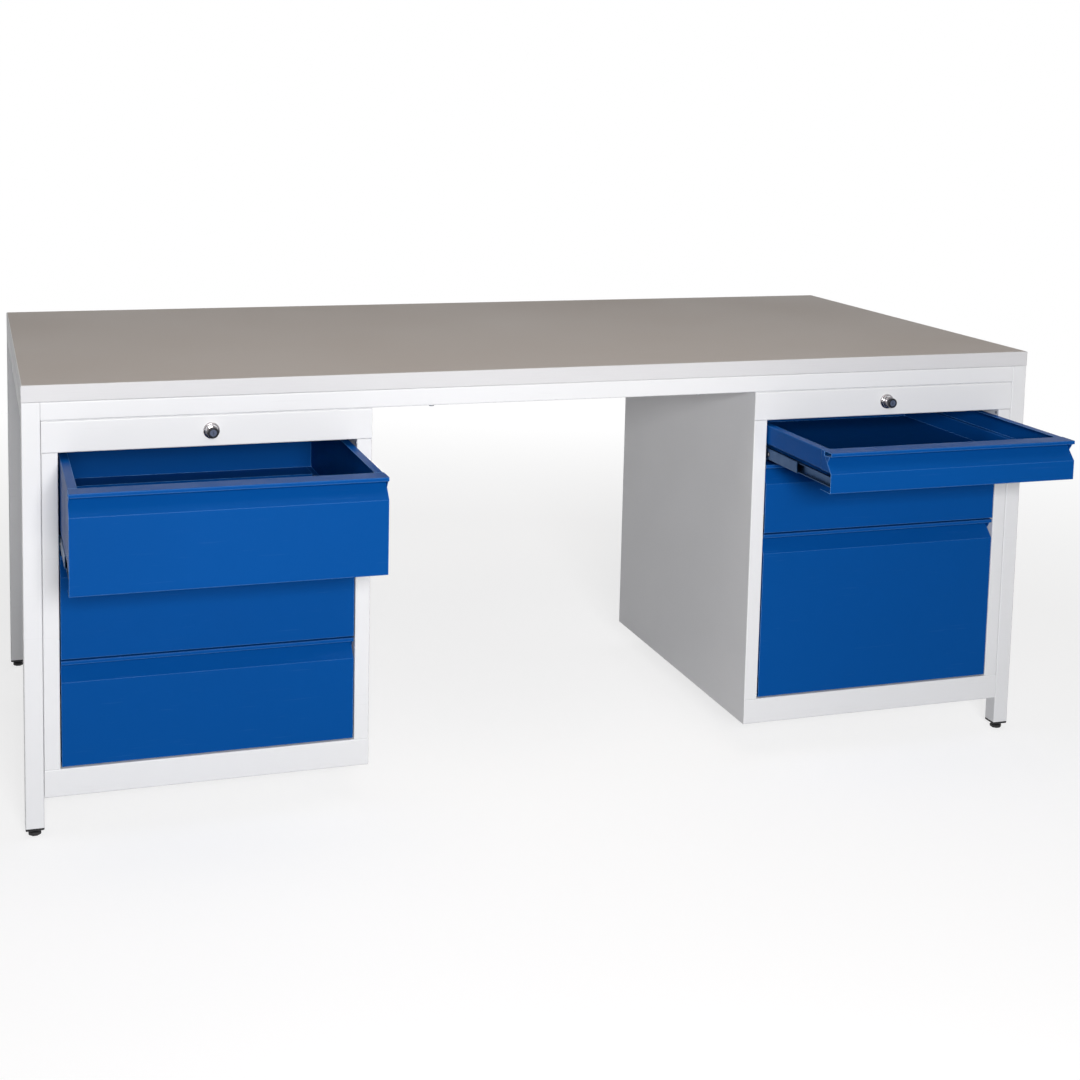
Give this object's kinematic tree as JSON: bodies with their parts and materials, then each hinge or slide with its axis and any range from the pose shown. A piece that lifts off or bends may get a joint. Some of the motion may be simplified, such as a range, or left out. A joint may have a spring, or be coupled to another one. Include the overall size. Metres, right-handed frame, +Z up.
{
  "type": "teacher desk",
  "caption": "Square-tube steel desk with a laminate worktop and two lockable under-desk cabinets of lipped steel drawers on telescopic runners; two top drawers stand partly open.",
  "frame": {"origin": "on the floor, at the centre of the space the desk takes up with its two top drawers pulled out as modelled", "axes": "+X to the right of a person sitting at the desk, +Y away from that person, +Z up"},
  "size_m": [1.86, 1.095, 0.75],
  "materials": {
    "worktop_laminate": "fine matt grey melamine",
    "edge_band": "satin light grey ABS edging",
    "frame_paint": "light grey powder coat, fine orange peel",
    "drawer_paint": "gentian blue powder coat, satin",
    "zinc_steel": "bright zinc plate",
    "chrome": "polished chrome",
    "lock_black": "black satin cap over a chrome plug",
    "black_plastic": "black nylon"
  },
  "bodies": {
    "desk": {"worktop": "worktop_laminate", "worktop_edge_band": "edge_band", "long_rails": "frame_paint", "side_rails": "frame_paint", "cross_rails": "frame_paint", "cabinet_bolts": "zinc_steel", "worktop_screws": "zinc_steel", "leg_plugs": "black_plastic", "lock_housings": "chrome", "leg_front_left": "frame_paint", "leg_front_right": "frame_paint", "leg_rear_left": "frame_paint", "leg_rear_right": "frame_paint", "cabinet_left_inner_side": "frame_paint", "cabinet_left_outer_side": "frame_paint", "cabinet_left_back": "frame_paint", "cabinet_left_roof": "frame_paint", "cabinet_left_floor": "frame_paint", "cabinet_left_lock_panel": "frame_paint", "cabinet_left_fixed_runners": "zinc_steel", "cabinet_right_inner_side": "frame_paint", "cabinet_right_outer_side": "frame_paint", "cabinet_right_back": "frame_paint", "cabinet_right_roof": "frame_paint", "cabinet_right_floor": "frame_paint", "cabinet_right_lock_panel": "frame_paint", "cabinet_right_fixed_runners": "zinc_steel"},
    "glide_front_left": {"glide_front_left": "black_plastic"},
    "glide_front_right": {"glide_front_right": "black_plastic"},
    "glide_rear_left": {"glide_rear_left": "black_plastic"},
    "glide_rear_right": {"glide_rear_right": "black_plastic"},
    "lock_left": {"lock_cylinder_left": "lock_black"},
    "locking_bar_left": {"locking_bar_left": "zinc_steel"},
    "drawer_left_top": {"drawer_left_top_front": "drawer_paint", "drawer_left_top_box": "drawer_paint", "drawer_left_top_runners": "zinc_steel"},
    "mid_runners_left_top": {"drawer_left_top_mid_runners": "zinc_steel"},
    "drawer_left_middle": {"drawer_left_middle_front": "drawer_paint", "drawer_left_middle_box": "drawer_paint", "drawer_left_middle_runners": "zinc_steel"},
    "mid_runners_left_middle": {"drawer_left_middle_mid_runners": "zinc_steel"},
    "drawer_left_bottom": {"drawer_left_bottom_front": "drawer_paint", "drawer_left_bottom_box": "drawer_paint", "drawer_left_bottom_runners": "zinc_steel"},
    "mid_runners_left_bottom": {"drawer_left_bottom_mid_runners": "zinc_steel"},
    "lock_right": {"lock_cylinder_right": "lock_black"},
    "locking_bar_right": {"locking_bar_right": "zinc_steel"},
    "drawer_right_top": {"drawer_right_top_front": "drawer_paint", "drawer_right_top_box": "drawer_paint", "drawer_right_top_runners": "zinc_steel"},
    "mid_runners_right_top": {"drawer_right_top_mid_runners": "zinc_steel"},
    "drawer_right_middle": {"drawer_right_middle_front": "drawer_paint", "drawer_right_middle_box": "drawer_paint", "drawer_right_middle_runners": "zinc_steel"},
    "mid_runners_right_middle": {"drawer_right_middle_mid_runners": "zinc_steel"},
    "drawer_right_bottom": {"drawer_right_bottom_front": "drawer_paint", "drawer_right_bottom_box": "drawer_paint", "drawer_right_bottom_runners": "zinc_steel"},
    "mid_runners_right_bottom": {"drawer_right_bottom_mid_runners": "zinc_steel"}
  },
  "joints": [
    {"name": "adjust_front_left", "type": "slide", "parent": "desk", "child": "glide_front_left", "axis": [0, 0, -1], "range_m": [0, 0.012]},
    {"name": "adjust_front_right", "type": "slide", "parent": "desk", "child": "glide_front_right", "axis": [0, 0, -1], "range_m": [0, 0.012]},
    {"name": "adjust_rear_left", "type": "slide", "parent": "desk", "child": "glide_rear_left", "axis": [0, 0, -1], "range_m": [0, 0.012]},
    {"name": "adjust_rear_right", "type": "slide", "parent": "desk", "child": "glide_rear_right", "axis": [0, 0, -1], "range_m": [0, 0.012]},
    {"name": "turn_lock_left", "type": "hinge", "parent": "desk", "child": "lock_left", "pos_m": [-0.6285, -0.3125, 0.665], "axis": [0, 1, 0], "range_deg": [0, 90]},
    {"name": "lift_bar_left", "type": "slide", "parent": "desk", "child": "locking_bar_left", "axis": [0, 0, 1], "range_m": [0, 0.012]},
    {"name": "slide_left_top", "type": "slide", "parent": "desk", "child": "drawer_left_top", "axis": [0, -1, 0], "range_m": [-0.235, 0.265]},
    {"name": "mid_slide_left_top", "type": "slide", "parent": "desk", "child": "mid_runners_left_top", "axis": [0, -1, 0], "range_m": [-0.1175, 0.1325]},
    {"name": "slide_left_middle", "type": "slide", "parent": "desk", "child": "drawer_left_middle", "axis": [0, -1, 0], "range_m": [0, 0.5]},
    {"name": "mid_slide_left_middle", "type": "slide", "parent": "desk", "child": "mid_runners_left_middle", "axis": [0, -1, 0], "range_m": [0, 0.25]},
    {"name": "slide_left_bottom", "type": "slide", "parent": "desk", "child": "drawer_left_bottom", "axis": [0, -1, 0], "range_m": [0, 0.5]},
    {"name": "mid_slide_left_bottom", "type": "slide", "parent": "desk", "child": "mid_runners_left_bottom", "axis": [0, -1, 0], "range_m": [0, 0.25]},
    {"name": "turn_lock_right", "type": "hinge", "parent": "desk", "child": "lock_right", "pos_m": [0.6285, -0.3125, 0.665], "axis": [0, -1, 0], "range_deg": [0, 90]},
    {"name": "lift_bar_right", "type": "slide", "parent": "desk", "child": "locking_bar_right", "axis": [0, 0, 1], "range_m": [0, 0.012]},
    {"name": "slide_right_top", "type": "slide", "parent": "desk", "child": "drawer_right_top", "axis": [0, -1, 0], "range_m": [-0.235, 0.265]},
    {"name": "mid_slide_right_top", "type": "slide", "parent": "desk", "child": "mid_runners_right_top", "axis": [0, -1, 0], "range_m": [-0.1175, 0.1325]},
    {"name": "slide_right_middle", "type": "slide", "parent": "desk", "child": "drawer_right_middle", "axis": [0, -1, 0], "range_m": [0, 0.5]},
    {"name": "mid_slide_right_middle", "type": "slide", "parent": "desk", "child": "mid_runners_right_middle", "axis": [0, -1, 0], "range_m": [0, 0.25]},
    {"name": "slide_right_bottom", "type": "slide", "parent": "desk", "child": "drawer_right_bottom", "axis": [0, -1, 0], "range_m": [0, 0.5]},
    {"name": "mid_slide_right_bottom", "type": "slide", "parent": "desk", "child": "mid_runners_right_bottom", "axis": [0, -1, 0], "range_m": [0, 0.25]}
  ],
  "couplings": [
    {"joint": "turn_lock_left", "follows": "lift_bar_left", "rad_per_m": 130.9},
    {"joint": "mid_slide_left_top", "follows": "slide_left_top", "ratio": 0.5},
    {"joint": "mid_slide_left_middle", "follows": "slide_left_middle", "ratio": 0.5},
    {"joint": "mid_slide_left_bottom", "follows": "slide_left_bottom", "ratio": 0.5},
    {"joint": "turn_lock_right", "follows": "lift_bar_right", "rad_per_m": 130.9},
    {"joint": "mid_slide_right_top", "follows": "slide_right_top", "ratio": 0.5},
    {"joint": "mid_slide_right_middle", "follows": "slide_right_middle", "ratio": 0.5},
    {"joint": "mid_slide_right_bottom", "follows": "slide_right_bottom", "ratio": 0.5}
  ]
}
